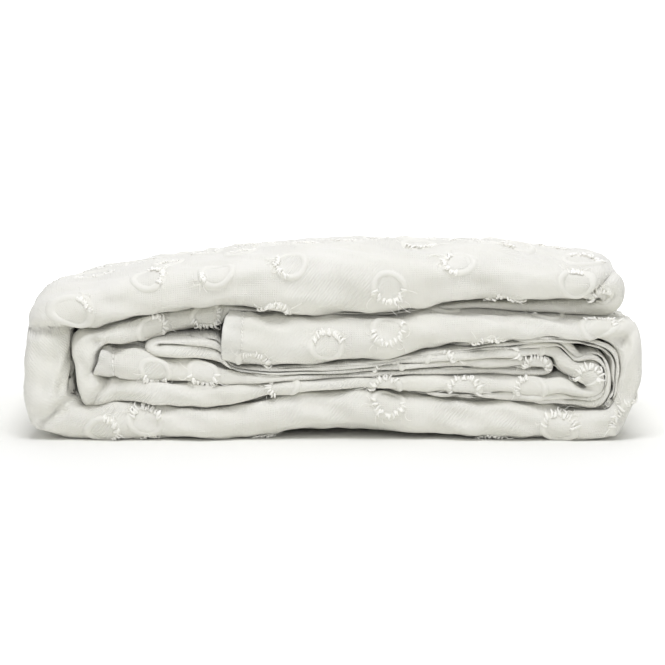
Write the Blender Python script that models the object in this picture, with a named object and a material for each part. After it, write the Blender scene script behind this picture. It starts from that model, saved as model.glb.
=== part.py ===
"""A bedspread, folded lengthwise into a long strip and then wrapped flat into a packet.

The strip is one solid. In the front view its section runs back and forth: from one hemmed end along the
second band, down the right side, along the bottom, up the left side, over the top as a flap that folds under
itself, and then inwards through the core to the other hemmed end. Each place along the strip has a rung,
which joins its left-hand edge to its right-hand edge in that view. The solid is the strip's cross-section,
a rounded main fold with a thinner lip beside it, carried from rung to rung.
"""

import bmesh
import bpy
import numpy as np

MM = 0.001

# Driving sizes, in millimetres
STRIP_DEPTH = 300.0  # from the front fold to the back fold: an eighth of the cloth's width
FRONT_WAVES = ((97.0, 1.2), (53.0, 0.8), (34.0, 0.5))  # lengths and heights of the uneven front's waves
LAYER_GAP = 0.7  # between one layer and the next
RUNG_SPACING = 15.0
WAIST_PINCH = 6.0  # the front and back draw in by this much at the middle
WAIST_WIDTH = 42.0
CROWN = 0.068  # the packet swells upwards by this share of its height behind the front folds
CROWN_AT = 60.0  # how far behind the front the crown is highest
BACK_DROP = 0.8  # how much of the crown the back loses
HEM_SLANT = 4.5  # the lower corner of the outer hemmed end reaches this much further than the upper

# The cross-section of the strip
LIP_SETBACK = 0.45  # the lip's front lies this share of the half thickness behind the main fold's
NOSE_ROUND = 1.1  # a fold's front is this much deeper than half its height
NOSE_MOST = 15.0
NOSE_SQUARE = 2.5  # 2 is a half ellipse, and more is squarer

# Heights of the seams between the layers, one row for each station across the packet
SEAM_NAMES = (
    "across",
    "floor", "third_low", "core_low", "tuck_low", "tuck_middle",
    "second_low", "under_low", "under_top", "flap_low", "flap_top",
)  # fmt: skip
SEAMS = np.array((
    (-150, 0.0, 22.8, 39.8, 60.4, 61.0, 62.0, 63.6, 75.0, 76.0, 101.5),
    (-140, 0.0, 23.3, 38.3, 61.3, 62.0, 62.6, 63.3, 75.4, 76.8, 103.2),
    (-130, 0.0, 23.0, 38.0, 60.6, 61.2, 62.2, 63.0, 78.0, 79.3, 104.5),
    (-122, 0.0, 22.5, 37.0, 57.0, 59.0, 63.2, 64.6, 80.2, 81.4, 105.5),
    (-115, 0.0, 21.8, 36.2, 54.2, 58.6, 65.4, 66.4, 81.6, 82.7, 106.8),
    (-107, 0.0, 21.0, 35.5, 53.6, 58.2, 66.4, 68.0, 82.5, 83.6, 108.0),
    (-92, 0.0, 20.2, 35.0, 48.8, 53.6, 61.5, 70.2, 84.0, 85.0, 110.5),
    (-81, 0.3, 21.0, 35.5, 44.4, 47.2, 50.0, 75.0, 85.8, 86.9, 112.0),
    (-73, 0.6, 22.3, 36.4, 43.2, 46.2, 49.7, 82.0, 86.0, 86.8, 113.2),
    (-59, 1.6, 24.6, 37.7, 42.7, 45.6, 49.3, 81.2, 84.6, 85.3, 115.0),
    (-30, 5.0, 30.3, 38.8, 42.4, 45.4, 49.9, 79.1, 81.6, 82.3, 117.5),
    (0, 6.5, 32.3, 38.9, 42.2, 45.5, 50.8, 78.6, 81.3, 82.0, 118.5),
    (30, 5.0, 32.8, 40.3, 43.4, 46.9, 53.0, 79.1, 81.8, 82.5, 119.0),
    (55, 3.0, 30.8, 41.6, 45.0, 49.0, 57.2, 81.0, 84.2, 85.3, 118.8),
    (82, 1.0, 28.5, 42.5, 46.0, 50.8, 61.6, 82.8, 86.0, 88.2, 118.5),
    (109, 0.0, 27.0, 42.7, 46.4, 53.0, 64.4, 83.0, 87.4, 91.2, 118.3),
    (138, 0.0, 25.0, 41.8, 46.4, 54.6, 66.8, 82.0, 88.6, 93.4, 117.4),
    (162, 0.0, 21.2, 41.0, 46.0, 55.0, 67.6, 79.8, 89.9, 92.6, 114.5),
))  # fmt: skip

# Layers in the order in which the strip runs through them, with the seams under and over each one, where it
# starts and ends across the packet, and how far its front is set back there. The lip columns say where in the
# thickness the main fold ends and the lip starts, from -1 at the right-hand edge to 1 at the left-hand edge.
LAYERS = (
    # name, seam under, seam over, start, end, setback at start and end, lip at start and end
    ("second", "second_low", "under_low", -73, 162, 0.0, 1.0, -0.85, -0.85),
    ("bottom", "floor", "third_low", 162, -150, 0.0, 2.0, -0.85, -0.85),
    ("flap", "flap_low", "flap_top", -150, 162, 2.0, 2.0, -0.85, -0.85),
    ("under", "under_low", "under_top", 162, -140, 10.0, 13.0, -0.8, -0.7),
    ("third", "third_low", "core_low", -140, 138, 4.0, 3.0, -0.65, -0.35),
    ("tuck_upper", "tuck_middle", "second_low", 138, -107, 6.0, 7.0, -0.2, -0.4),
    ("tuck_lower", "tuck_low", "tuck_middle", -107, 138, 7.0, 9.0, -0.55, -0.7),
    ("core", "core_low", "tuck_low", 138, -151, 12.0, 3.0, -0.7, -0.7),
)

# The turn after each layer: how far its outer and inner sides reach past the layers that it joins, how square
# each is (2 is a half ellipse), and its number of rungs
TURNS = {
    "second": (38, 23, 4.6, 4.0, 9),
    "bottom": (50, 21, 3.3, 4.5, 11),
    "flap": (28, 12, 2.3, 2.0, 7),
    "under": (29, 15.5, 2.6, 4.0, 9),
    "tuck_upper": (15, 3, 2.0, 2.0, 5),
    "tuck_lower": (8.5, 2, 2.4, 2.0, 5),
}

# The third band's turn kinks as it folds back over itself: outer side and inner side of each rung
KINKED_TURN = np.array((
    ((150, 24.8), (150, 40.0)),
    ((163, 22.6), (158, 37.5)),
    ((174, 24.0), (164, 37.0)),
    ((181, 29.5), (168.5, 39.5)),
    ((183.8, 40.0), (170.5, 42.5)),
    ((183, 51.0), (168.5, 45.0)),
    ((177.5, 58.5), (162, 46.0)),
    ((168, 62.0), (156.5, 50.0)),
    ((158, 64.5), (151, 54.0)),
    ((148, 66.0), (145, 55.5)),
))  # fmt: skip


def smooth(at, stations, heights):
    """Heights between the stations, on a curve that overshoots no station."""
    step = np.diff(stations)
    rise = np.diff(heights) / step
    same_way = rise[:-1] * rise[1:] > 0
    total = np.where(same_way, rise[:-1] + rise[1:], 1.0)
    slope = np.zeros(len(stations))
    slope[1:-1] = np.where(same_way, 2 * rise[:-1] * rise[1:] / total, 0.0)
    k = np.clip(np.searchsorted(stations, at, side="right") - 1, 0, len(step) - 1)
    t = (at - stations[k]) / step[k]
    ease = t * t * (3 - 2 * t)
    start_bow = t * (1 - t) ** 2 * step[k] * slope[k]
    end_bow = t * t * (1 - t) * step[k] * slope[k + 1]
    return heights[k] * (1 - ease) + heights[k + 1] * ease + start_bow - end_bow


def rungs_across(start, end):
    """Places for rungs from start to end: every station between them, with the wider steps divided."""
    stations = SEAMS[:, 0]
    low, high = min(start, end), max(start, end)
    inside = stations[(stations > low + 1) & (stations < high - 1)]
    marks = np.concatenate(([low], inside, [high]))
    places = [marks[:1]]
    for a, b in zip(marks[:-1], marks[1:]):
        pieces = int(np.ceil((b - a) / RUNG_SPACING))
        places.append(np.linspace(a, b, pieces + 1)[1:])
    across = np.concatenate(places)
    return across if start < end else across[::-1]


def layer_sides(low_seam, high_seam, start, end):
    """Left-hand and right-hand edges of a layer's rungs, seen along the way that the strip runs."""
    across = rungs_across(start, end)
    stations = SEAMS[:, 0]
    low = smooth(across, stations, SEAMS[:, SEAM_NAMES.index(low_seam)])
    high = smooth(across, stations, SEAMS[:, SEAM_NAMES.index(high_seam)])
    if low_seam != "floor":
        low = low + LAYER_GAP / 2
    if high_seam not in ("flap_top", "under_top"):
        high = high - LAYER_GAP / 2
    lower, upper = np.column_stack((across, low)), np.column_stack((across, high))
    return (upper, lower) if start < end else (lower, upper)


def bend(first, last, reach, power, count):
    """Points on a half superellipse from first to last, which reaches sideways past them."""
    middle, half = (first + last) / 2, (first - last) / 2
    angle = np.linspace(0, np.pi, count + 2)[1:-1]
    along = np.sign(np.cos(angle)) * np.abs(np.cos(angle)) ** (2 / power)
    across = np.sin(angle) ** (2 / power)
    return middle + np.outer(along, half) + np.outer(across * reach, (1, 0))


def turn_sides(name, before, after, heading):
    """Rungs of the turn between two layers. The outer side is the one further from the turn's centre."""
    if name == "third":
        return KINKED_TURN[:, 1], KINKED_TURN[:, 0]
    outer_reach, inner_reach, outer_power, inner_power, count = TURNS[name]
    spans = [abs(b[1] - a[1]) for a, b in zip(before, after)]
    sides = []
    for side in (0, 1):
        is_outer = spans[side] == max(spans)
        reach = outer_reach if is_outer else inner_reach
        power = outer_power if is_outer else inner_power
        sides.append(bend(before[side], after[side], heading * reach, power, count))
    return sides


def front_waves(middle):
    """How much further back the strip's uneven front lies at each rung: waves along its length."""
    along = np.concatenate(([0], np.cumsum(np.linalg.norm(np.diff(middle, axis=0), axis=1))))
    waves = [height * (1 - np.cos(2 * np.pi * along / length)) for length, height in FRONT_WAVES]
    return np.sum(waves, axis=0)


def strip_rungs():
    """Every rung's left-hand and right-hand edges, setback and lip, from one hemmed end to the other."""
    left, right, setback, lip = [], [], [], []
    sides = [layer_sides(*layer[1:5]) for layer in LAYERS]
    sides[0][1][0, 0] -= HEM_SLANT
    for i, (name, _, _, start, end, first_back, last_back, first_lip, last_lip) in enumerate(LAYERS):
        left.append(sides[i][0])
        right.append(sides[i][1])
        setback.append(np.linspace(first_back, last_back, len(sides[i][0])))
        lip.append(np.linspace(first_lip, last_lip, len(sides[i][0])))
        if i + 1 < len(LAYERS):
            before = (sides[i][0][-1], sides[i][1][-1])
            after = (sides[i + 1][0][0], sides[i + 1][1][0])
            turn_left, turn_right = turn_sides(name, before, after, np.sign(end - start))
            left.append(turn_left)
            right.append(turn_right)
            setback.append(np.linspace(last_back, LAYERS[i + 1][5], len(turn_left) + 2)[1:-1])
            lip.append(np.linspace(last_lip, LAYERS[i + 1][7], len(turn_left) + 2)[1:-1])
    left, right, setback, lip = [np.concatenate(part) for part in (left, right, setback, lip)]
    return left, right, setback + front_waves((left + right) / 2), lip


def cross_section(half_thickness, lip):
    """The strip's outline at a rung: shares of the thickness, and depths behind the rung's own front."""
    lobe_middle, lobe_half = (1 + lip) / 2, (1 - lip) / 2
    lip_middle, lip_half = (lip - 1) / 2, (lip + 1) / 2
    lobe_round = min(half_thickness * lobe_half * NOSE_ROUND, NOSE_MOST)
    lip_round = half_thickness * lip_half * NOSE_ROUND
    lip_front = half_thickness * LIP_SETBACK
    notch = lip_front + lip_round
    shares, depths = [], []
    for angle in np.radians((90, 60, 32, 0, -32, -60)):
        bulge = np.abs((np.sin(angle), np.cos(angle))) ** (2 / NOSE_SQUARE)
        shares.append(lobe_middle + lobe_half * np.sign(angle) * bulge[0])
        depths.append(lobe_round * (1 - bulge[1]))
    shares.append(lip)
    depths.append(notch)
    for angle in np.radians((45, 0, -45, -90)):
        shares.append(lip_middle + lip_half * np.sin(angle))
        depths.append(lip_front + lip_round * (1 - np.cos(angle)))
    for depth in (CROWN_AT * 1.2, STRIP_DEPTH * 0.6):
        shares.append(-1.0)
        depths.append(depth)
    for angle in np.radians((-90, -40, 0, 40, 90)):
        shares.append(np.sin(angle))
        depths.append(STRIP_DEPTH - lobe_round * (1 - np.cos(angle)))
    for depth in (STRIP_DEPTH * 0.6, CROWN_AT * 1.2):
        shares.append(1.0)
        depths.append(depth)
    return np.array(shares), np.array(depths)


def settle(points, middle):
    """The packet's own sag and swell: it draws in at its waist, and crowns behind its front folds."""
    across, depth, height = points.T
    pinch = WAIST_PINCH / middle * np.exp(-((across / WAIST_WIDTH) ** 2))
    behind = depth / CROWN_AT
    crown = behind * np.exp(1 - behind) - BACK_DROP * (depth / STRIP_DEPTH) ** 2
    return np.column_stack((
        across,
        (depth - middle) * (1 - pinch),
        height * (1 + CROWN * crown),
    ))


def strip_rings():
    """The outline of the cross-section at every rung, as points in metres."""
    rings = []
    rungs = strip_rungs()
    middle_depth = (STRIP_DEPTH + min(rungs[2]) + max(rungs[2])) / 2
    for left, right, setback, lip in zip(*rungs):
        middle, half = (left + right) / 2, (left - right) / 2
        shares, depths = cross_section(np.linalg.norm(half), lip)
        section = middle + np.outer(shares, half)
        points = np.column_stack((section[:, 0], setback + depths, section[:, 1]))
        rings.append(settle(points, middle_depth) * MM)
    return rings


def cotton():
    """Ivory white woven cotton, matt."""
    material = bpy.data.materials.new("ivory_cotton")
    material.use_nodes = True
    shader = material.node_tree.nodes["Principled BSDF"]
    shader.inputs["Base Color"].default_value = (0.86, 0.86, 0.83, 1)
    shader.inputs["Roughness"].default_value = 0.9
    return material


def folded_strip():
    """The whole bedspread: rings of the cross-section bridged one to the next, and closed at both hems."""
    shape = bmesh.new()
    rings = [[shape.verts.new(point) for point in ring] for ring in strip_rings()]
    for ring, after in zip(rings[:-1], rings[1:]):
        for k in range(len(ring)):
            j = (k + 1) % len(ring)
            shape.faces.new((ring[k], ring[j], after[j], after[k]))
    shape.faces.new(rings[0])
    shape.faces.new(rings[-1])
    bmesh.ops.recalc_face_normals(shape, faces=shape.faces)
    mesh = bpy.data.meshes.new("bedspread")
    shape.to_mesh(mesh)
    shape.free()
    mesh.shade_smooth()
    mesh.materials.append(cotton())
    bedspread = bpy.data.objects.new("bedspread", mesh)
    bpy.context.scene.collection.objects.link(bedspread)
    return bedspread


for old in list(bpy.data.objects):
    bpy.data.objects.remove(old)
folded_strip()
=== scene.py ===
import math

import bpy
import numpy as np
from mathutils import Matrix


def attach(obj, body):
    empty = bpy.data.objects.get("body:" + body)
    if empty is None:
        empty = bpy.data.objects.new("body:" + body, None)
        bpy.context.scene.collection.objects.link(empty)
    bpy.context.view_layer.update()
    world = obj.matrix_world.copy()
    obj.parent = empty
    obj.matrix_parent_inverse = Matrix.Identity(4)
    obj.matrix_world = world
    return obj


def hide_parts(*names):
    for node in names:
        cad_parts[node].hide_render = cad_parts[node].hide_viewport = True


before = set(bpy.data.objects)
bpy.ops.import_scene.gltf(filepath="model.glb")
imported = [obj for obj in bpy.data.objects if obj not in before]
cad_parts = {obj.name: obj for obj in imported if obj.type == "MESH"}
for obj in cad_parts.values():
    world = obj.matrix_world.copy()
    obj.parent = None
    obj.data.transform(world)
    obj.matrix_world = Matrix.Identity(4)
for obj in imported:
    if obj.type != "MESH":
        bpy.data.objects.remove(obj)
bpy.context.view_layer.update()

# A folded bedspread in ivory cotton, woven all over with small clipped rings. The cloth is one sheet: a grid
# of points whose rows follow the strip as it wraps round the packet, and whose columns follow the eight plies
# of the strip's own section. The cloth is worked out in millimetres and turned into metres at the end, and
# the studio round it is in metres.

MM = 0.001

# Sizes of the cloth and of the packet, in millimetres
CLOTH_WIDTH, CLOTH_LENGTH = 2440.0, 2740.0
STRIP_DEPTH = 300.0  # from the front fold to the back fold
LAYER_GAP = 0.7
MAIN_FOLD = 905.0  # from the cloth's first edge to the front line of the main fold
FLOOR_CLEARANCE, THREAD_CLEARANCE = 0.15, 0.2  # the cloth and its threads are at least this high

# The packet's sag and swell
WAIST_PINCH, WAIST_WIDTH = 6.0, 42.0  # how far the front and back draw in at the middle
CROWN, BACK_DROP = 0.068, 0.8  # the share by which heights grow, and how much of that the back loses
CROWN_FROM, CROWN_AT = 5.0, 60.0  # how far behind the front the growth starts and is greatest
SHELF_FROM, SHELF_EASE = 175.0, 5.0  # the shelf that doesn't grow is past here, and how softly it starts
SHELF_TOP, SHELF_TOP_EASE = 88.0, 3.0  # and it is lower than this
DRIFT = (0.9, 2.0, 0.9)  # how far all of the cloth wanders across, back and up
DRIFT_SIZE, DRIFT_FREE = 120.0, 25.0  # how long the swell is, and under which height it rises less

# The two hemmed ends of the strip
HEM_SLANT, CORE_SLANT = 2.5, 7.5  # how much further the lower corner of the outer and the inner end reaches
HEM_FLARE = 4.0  # how far the outer end's front corner stands out past the hem behind it
HEM_FLARE_ALONG, HEM_FLARE_DEEP = 14.0, 14.0
HEM_ROWS = np.array((0, 0.5, 2.2, 4.5, 7.2, 9.4, 10.4, 11.6, 14))
HEM_TURNED_IN = (0.25, 0.7, 0.75, 0.75, 0.75, 0.6)  # how far inside the cloth the turned hem's rows lie
STITCH_AT, STITCH_PITCH, STITCH_LENGTH, STITCH_RADIUS = 10.4, 3.0, 2.3, 0.45
STITCH_PULL, STITCH_PULL_WIDTH = 1.6, 1.6  # how deep and wide the line is that the stitches press in
GATHER_HEIGHT, GATHER_PITCH, GATHER_WIDTH = 0.8, 7.0, 6.0

# The strip's section. Shares of the thickness run from 1 at its left-hand edge to -1 at its right-hand one
FRONT_WAVES = ((97, 1.2), (53, 0.8), (34, 0.5))  # lengths and heights of the waves in the front folds
NOSE_ROUND, NOSE_MOST = 1.1, 15.0  # a fold's front is so much deeper than half its height, and this at most
NOSE_SQUARE = 2.25  # 2 is a half ellipse, and more is squarer
INNER_FOLD_IN = 4.0  # how far the fold inside the main fold lies behind its nose
INNER_PLY = 0.28  # how far its plies lie inside the main fold's, as a share of its thickness
LIP_SETBACK = 0.45  # about how far the lips lie behind the main fold, as a share of half the thickness
LIP_EASE = 3  # how late in a part of the strip the lips' share changes
LIP_RANGE = (-0.97, 0.1)
THIN_LIP, THIN_LIP_EASE, THIN_LIP_IN = -0.7, 0.12, 15.0  # lips that start past this share lie further back
PLY_GAP, PLY_GAP_SHARE = 0.2, 0.02  # between two plies at the front, and as a share at most
BACK_SHARES = (1, 0.48, 0.42, 0.35, -0.21, -0.28, -0.86, -0.94)  # where the eight plies lie at the back
BACK_FOLD_IN, BACK_FOLD_WANDER = 1.5, (0.8, 1.6, 1.1)  # how far the back folds end inside the strip's depth
BACK_FOLD_SHARES, BACK_ROUND = (0.26, 0.28, 0.29), 0.9  # half their heights as shares, and their roundness
EDGE_IN, EDGE_WANDER = (13, 9), 3  # how far the cloth's long edges end inside the strip's depth

# How finely the strip's way is worked out, and how closely the grid's rows follow each other on it
ROUND_POINTS, CREASED_POINTS = 40, 37  # of a turn's edge
SOFTNESS = 2.0  # how far bends are rounded
ROW_SPACING, ROW_TURN = 4.3, 0.2  # one row for each length, and one for each part of a turn, in radians

# Wrinkles: how long they are, how the swell is stretched along and round, how high they are, and their seed
WRINKLES = (
    (46, (1.0, 1.0), 1.2, 31),
    (30, (0.8, 2.0), 1.2, 32),
    (15, (0.8, 1.6), 0.75, 33),
)
FULL_WRINKLE, LEAST_WRINKLE = 9.0, 0.2  # full height from this half thickness up, and the least share of it

# The woven rings and the twill
RING_OUTER, RING_INNER = 12.4, 7.6
RING_ALONG, RING_ACROSS = 47.0, 26.0  # from ring to ring along the strip and across it
RING_SHIFT, RING_FROM_HEM = 1.5, 20  # how far each one may be off its place, and the hem's free part
RING_FREE = (27.0, 24.0)  # no other ring is within this ellipse round a ring of the front folds
BAND_HEIGHT, BAND_CLIPPED, BAND_SUNK = 1.35, 0.65, 0.12  # how high, how much is clipped off, how deep set
TWILL_PITCH = 1.8  # from rib to rib
TWILL_WAY = (0.62, 0.78)  # which way the ribs follow each other, across the strip and along it

# The studio, in metres. Its light is a little bluer than the cloth is cream, so that the faces that it lights
# look white and the folds between them warm
DAYLIGHT = "#F9F9FF"
SURROUND_STRENGTH = 0.475
SOFT_BOXES = (
    ("key_box", (0.0, -0.7, 1.45), (0, 0, 0.05), 0.7, 11.6),
    ("front_box", (0.1, -2.1, 0.75), (0, 0, 0.07), 0.9, 6.85),
    ("top_box", (0.2, 0.3, 1.6), (0, 0, 0.05), 1.1, 5.3),
    ("sweep_box", (0, 0.9, 1.5), (0, 2.4, 0.6), 1.8, 44.5),
)
SWEEP_FROM, SWEEP_RADIUS = 1.6, 0.8  # where the floor starts to curve up, and how wide the curve is
CAMERA_AIM = (0.0, -0.158, 0.0715)
CAMERA_AWAY, CAMERA_TILT = 1.4, 6.5
SENSOR_WIDTH = 36  # in millimetres
VIEW_WIDTH = 0.432  # how much of the front plane the picture is wide

# Heights of the seams between the layers, one row for each station across the packet
SEAM_NAMES = (
    "across",
    "floor", "third_low", "core_low", "tuck_low", "tuck_middle",
    "second_low", "under_low", "under_top", "flap_low", "flap_top",
)
SEAMS = np.array((
    (-156, 0, 22, 46, 61.6, 62.2, 63.2, 66.5, 70.2, 71, 99.4),
    (-150, 0, 23.2, 42.4, 61.8, 62.4, 63, 63.6, 72, 72.8, 100.6),
    (-140, 0, 23.8, 39.6, 60.8, 61.2, 61.6, 62, 75.6, 76.4, 102.8),
    (-130, 0, 23.8, 38, 60.4, 61.2, 61.8, 62.4, 76.8, 77.6, 104.8),
    (-122, 0, 22.8, 37.4, 58.4, 61, 62.6, 63.2, 77.8, 78.6, 105.5),
    (-115, 0, 21.8, 37, 54.6, 62, 64.4, 65, 78.6, 79.4, 106.8),
    (-107, 0, 20.8, 36.7, 53, 62.2, 65.6, 66.4, 79.6, 80.4, 108),
    (-92, 0, 20.4, 36.4, 52, 61.4, 66.4, 68.6, 82, 82.9, 110.5),
    (-84, 0.2, 20.6, 36.2, 51.4, 60.8, 67.4, 69.6, 84.4, 85.3, 111.6),
    (-79, 0.3, 21.2, 36, 50.8, 60.2, 67.4, 70, 85.8, 86.7, 112.3),
    (-76, 0.5, 21.6, 36, 50, 59.6, 67.2, 70.2, 86.2, 87.2, 112.8),
    (-73, 0.6, 22.2, 36, 49.2, 58.6, 66.2, 70.8, 86, 87.2, 113.2),
    (-68, 1, 23, 36.2, 47.6, 48.8, 50.4, 82, 85.2, 86.6, 114),
    (-59, 1.6, 24.2, 36.6, 45.6, 46.4, 47.8, 82, 84.2, 85.2, 115),
    (-30, 5, 30.4, 38.4, 43, 44.8, 48.4, 79.4, 80.4, 81, 117.5),
    (0, 6.5, 32.6, 39.2, 43, 45.2, 49.8, 78.4, 79.2, 79.8, 118.5),
    (30, 5.5, 32.6, 41.4, 44.8, 47.8, 51.6, 78.6, 79.4, 80, 119),
    (55, 4, 29.4, 42, 46, 50.4, 56, 80.2, 82, 82.8, 118.8),
    (82, 2.4, 27.8, 41.8, 46.8, 52.4, 59.6, 81.6, 85.4, 87.4, 118.5),
    (109, 2, 26.4, 41.9, 46.6, 53, 63, 81.6, 87, 90.6, 118),
    (138, 1, 24, 41.4, 46.4, 54.6, 65.6, 80, 88, 92.4, 116.4),
    (162, 0, 20.6, 40.6, 46, 55, 62.4, 78.2, 87.8, 90.4, 112.6),
))

# Layers in the order in which the strip runs through them: seams under and over, start and end across the
# packet, how far the front is set back at each end, how late that changes, and the share of the thickness at
# which the main fold ends and the lips start, at each end
LAYERS = (
    ("second", "second_low", "under_low", -67, 162, 0, 1, 1, -0.96, -0.45),
    ("bottom", "floor", "third_low", 162, -150, 0, 2, 1, -0.96, -0.96),
    ("flap", "flap_low", "flap_top", -150, 162, 2, 2, 1, -0.96, -0.96),
    ("under", "under_low", "under_top", 162, -138, 20, 4, 20, -0.9, -0.96),
    ("third", "third_low", "core_low", -144, 138, 4, 3, 1, -0.96, -0.35),
    ("tuck_upper", "tuck_middle", "second_low", 138, -110, 6, 8, 1, -0.2, -0.96),
    ("tuck_lower", "tuck_low", "tuck_middle", -110, 138, 5, 9, 1, -0.96, -0.7),
    ("core", "core_low", "tuck_low", 138, -150, 12, 3, 1, -0.7, -0.96),
)

# Three turns are round. Each is named for the layer before it, and has the reach of its outer and inner sides
# past the layers, and how square each side is
TURNS = {
    "flap": (29, 12, 2.5, 2.0),
    "tuck_upper": (15, 3, 2.0, 2.0),
    "tuck_lower": (7, 2, 3.4, 2.0),
}

# Four turns are creased. The second layer turns with a square shelf at its top, the bottom one with a square
# foot and a sloping shoulder, the under layer with a knuckle at its top and a mitre at its foot, and the
# third layer kinks as it folds back over itself. Each row has a point of the left-hand edge (across, height)
# and the point of the right-hand edge that faces it.
CREASED_TURNS = {
    "second": np.array((
        (165, 78.4, 165, 61.6), (177, 78.4, 171, 59.6), (189, 78.4, 176.8, 57),
        (198, 78, 181.2, 52.8), (201, 69.5, 182.6, 47), (200.4, 56, 183.2, 40),
        (199.4, 40, 182.8, 33), (197.4, 24, 181, 26.6), (193, 10, 177.6, 22.4),
        (185, 2.8, 172, 20.4), (172, 0.3, 165, 20.2),
    )),
    "bottom": np.array((
        (-153, 0, -153, 23), (-166, 1, -160, 23.6), (-184, 3, -166, 25.5),
        (-196.6, 8, -170.5, 29), (-200.2, 19, -172.4, 34), (-201.4, 34, -172.2, 42),
        (-201.2, 50, -171.6, 50), (-200.4, 62, -171.8, 58), (-199.6, 73, -172.2, 65),
        (-197.2, 84, -170.8, 70), (-189, 92.4, -166, 72.2), (-174.5, 97.2, -160, 72.8),
        (-160, 99.2, -154, 72.8),
    )),
    "under": np.array((
        (-147.5, 63.4, -150, 71.4), (-149.2, 61.6, -163, 71), (-150.6, 57.6, -170.4, 66),
        (-152.4, 53.4, -171.2, 58.5), (-154.8, 49, -167.4, 50), (-157.6, 45, -167, 41),
        (-155.2, 42.2, -166, 31), (-151, 40.4, -163.6, 19.6), (-148, 39.2, -157, 20.6),
    )),
    "third": np.array((
        (150, 41, 150, 24.6), (156, 39, 163, 21.4), (161, 36.6, 173.4, 22),
        (165, 34.4, 181, 28.4), (167, 35.2, 182.8, 39), (166.4, 37.4, 181.8, 50.4),
        (162, 38.8, 175.8, 57.6), (156, 41.2, 168.5, 58.6), (149.5, 43.4, 161.8, 54.4),
        (146, 48, 157, 60), (144.4, 53.6, 150.5, 65.4),
    )),
}

# Creases pressed into the front folds, as lines in the front view: first the two ends (across, height), then
# how deep and how wide the trough is, and the part of the strip that has it, or the first and last one
TROUGH_REACH = 22.0  # how far behind the front they die away
TROUGHS = (
    (-197, 72, -174, 73, 10, 2.8, "bottom_turn", "flap"),
    (-174, 73, -160, 74, 4, 2.2, "bottom_turn", "flap"),
    (-170, 27, -190, 11, 7, 3, "bottom", "bottom_turn"),
    (-176, 20, -197, 17, 3, 3, "bottom", "bottom_turn"),
    (-158, 23, -149, 37, 5, 2.2, "under_turn", "third"),
    (-156, 72, -154, 62, 3, 1.8, "under", "under_turn"),
    (-186, 52, -174, 58, 1.6, 4, "bottom_turn"),
    (-194, 37, -180, 33, 1.6, 4, "bottom_turn"),
    (-118, 98, -60, 101, 1.8, 5, "flap"),
    (-40, 108, -95, 92, 1.5, 5, "flap"),
    (30, 92, 92, 104, 1.6, 5, "flap"),
    (182, 109, 171, 98, 6, 2.2, "flap", "flap_turn"),
    (171, 98, 182, 93, 3.2, 2.4, "flap", "flap_turn"),
    (150, 116, 176, 106, 1.5, 4, "flap", "flap_turn"),
    (-190, 95, -182, 78, 1.5, 4, "bottom_turn", "flap"),
    (-196, 58, -186, 50, 1.8, 3, "bottom_turn"),
    (-188, 45, -184, 22, 1.5, 3, "bottom", "bottom_turn"),
    (-150, 92, -110, 88, 1.5, 4, "flap"),
    (172, 66, 190, 66, 3.6, 3, "second", "second_turn"),
    (188, 65, 197, 74, 4, 2.6, "second", "second_turn"),
    (184, 24, 196, 8, 4, 3, "second_turn", "bottom"),
    (190, 60, 191, 30, 1.5, 4, "second_turn"),
    (120, 78, 170, 73, 1.6, 4, "second"),
    (20, 70, 70, 64, 1.4, 5, "second"),
    (60, 14, 110, 18, 1.6, 5, "bottom"),
    (-120, 10, -70, 16, 1.6, 5, "bottom"),
    (-185, 66, -178, 36, 1.8, 3.5, "bottom_turn"),
    (-150, 30, -122, 27, 1.6, 3, "third"),
    (-60, 72, -20, 66, 1.3, 4, "second"),
    (-48, 78, -54, 54, 1.2, 3, "second"),
    (-20, 100, 24, 92, 1.6, 4, "flap"),
    (100, 100, 140, 96, 1.4, 4, "flap"),
    (150, 16, 176, 24, 2.4, 3, "second_turn", "bottom"),
    (-164, 52, -158, 40, 1.4, 2.6, "under_turn"),
    (140, 40, 172, 33, 2, 2.5, "third", "third_turn"),
)

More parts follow.
